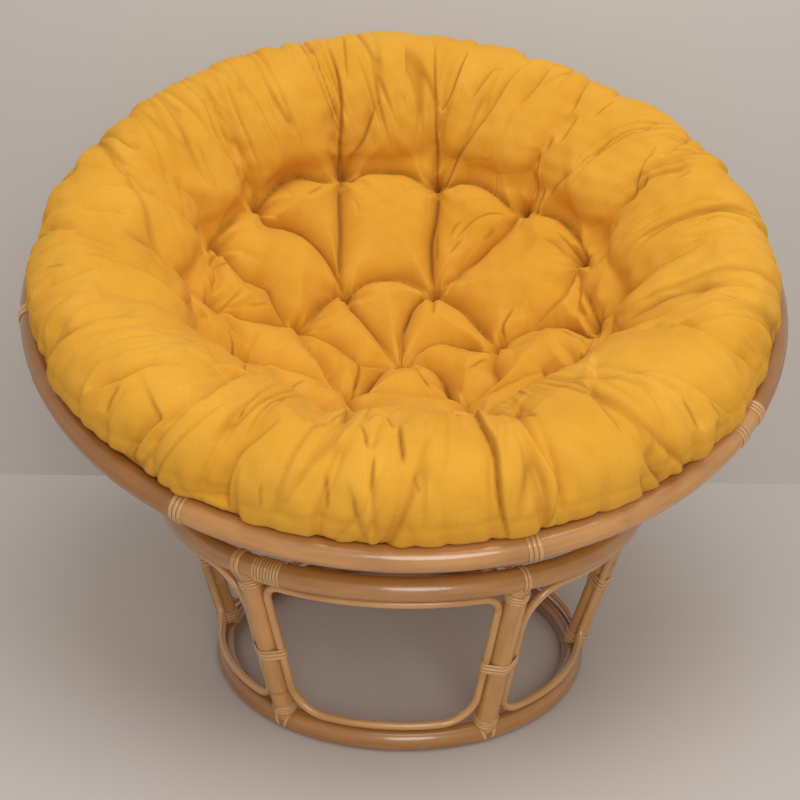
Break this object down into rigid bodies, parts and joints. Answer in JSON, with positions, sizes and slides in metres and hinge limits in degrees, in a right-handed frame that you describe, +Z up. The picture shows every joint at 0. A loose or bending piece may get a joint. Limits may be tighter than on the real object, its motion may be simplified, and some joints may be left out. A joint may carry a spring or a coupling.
{
  "type": "papasan chair",
  "caption": "Round dished lounge chair: a tufted cushion in a rattan bowl that rests, tilted, on an open rattan base.",
  "frame": {"origin": "on the floor, under the middle of the whole chair as it stands with its bowl tilted", "axes": "+Z up, -Y towards the front, where a sitter looks, +X to the right as seen from the front"},
  "size_m": [1.1, 0.987, 0.8986],
  "materials": {
    "pole": "gloss",
    "cane": "satin",
    "peel": "satin",
    "cotton": "matte"
  },
  "bodies": {
    "base": {"foot_ring": "pole", "top_ring": "pole", "post_front_left": "pole", "panel_loop_front": "cane", "head_binding_front_left": "peel", "foot_binding_front_left": "peel", "waist_binding_front_left": "peel", "ring_strap_front_left": "peel", "post_front_right": "pole", "panel_loop_right_front": "cane", "head_binding_front_right": "peel", "foot_binding_front_right": "peel", "waist_binding_front_right": "peel", "ring_strap_front_right": "peel", "post_right": "pole", "panel_loop_right_back": "cane", "head_binding_right": "peel", "foot_binding_right": "peel", "waist_binding_right": "peel", "ring_strap_right": "peel", "post_back_right": "pole", "panel_loop_back": "cane", "head_binding_back_right": "peel", "foot_binding_back_right": "peel", "waist_binding_back_right": "peel", "ring_strap_back_right": "peel", "post_back_left": "pole", "panel_loop_left_back": "cane", "head_binding_back_left": "peel", "foot_binding_back_left": "peel", "waist_binding_back_left": "peel", "ring_strap_back_left": "peel", "post_left": "pole", "panel_loop_left_front": "cane", "head_binding_left": "peel", "foot_binding_left": "peel", "waist_binding_left": "peel", "ring_strap_left": "peel", "scarf_binding": "peel"},
    "bowl": {"bowl_rim": "pole", "bowl_mid_hoop": "pole", "bowl_bottom_hoop": "pole", "rib_1": "pole", "rim_binding_1": "peel", "rib_2": "pole", "rim_binding_2": "peel", "rib_3": "pole", "rim_binding_3": "peel", "rib_4": "pole", "rim_binding_4": "peel", "rib_5": "pole", "rim_binding_5": "peel", "rib_6": "pole", "rim_binding_6": "peel", "rib_7": "pole", "rim_binding_7": "peel", "rib_8": "pole", "rim_binding_8": "peel"},
    "cushion": {"seat_cushion": "cotton"}
  },
  "joints": [
    {"name": "bowl_tilt", "type": "hinge", "parent": "base", "child": "bowl", "pos_m": [0, -0.09891, 0.771], "axis": [1, 0, 0], "range_deg": [-28, 3]},
    {"name": "cushion_lift", "type": "slide", "parent": "bowl", "child": "cushion", "axis": [0, -0.4694, 0.883], "range_m": [0, 0.45]}
  ]
}
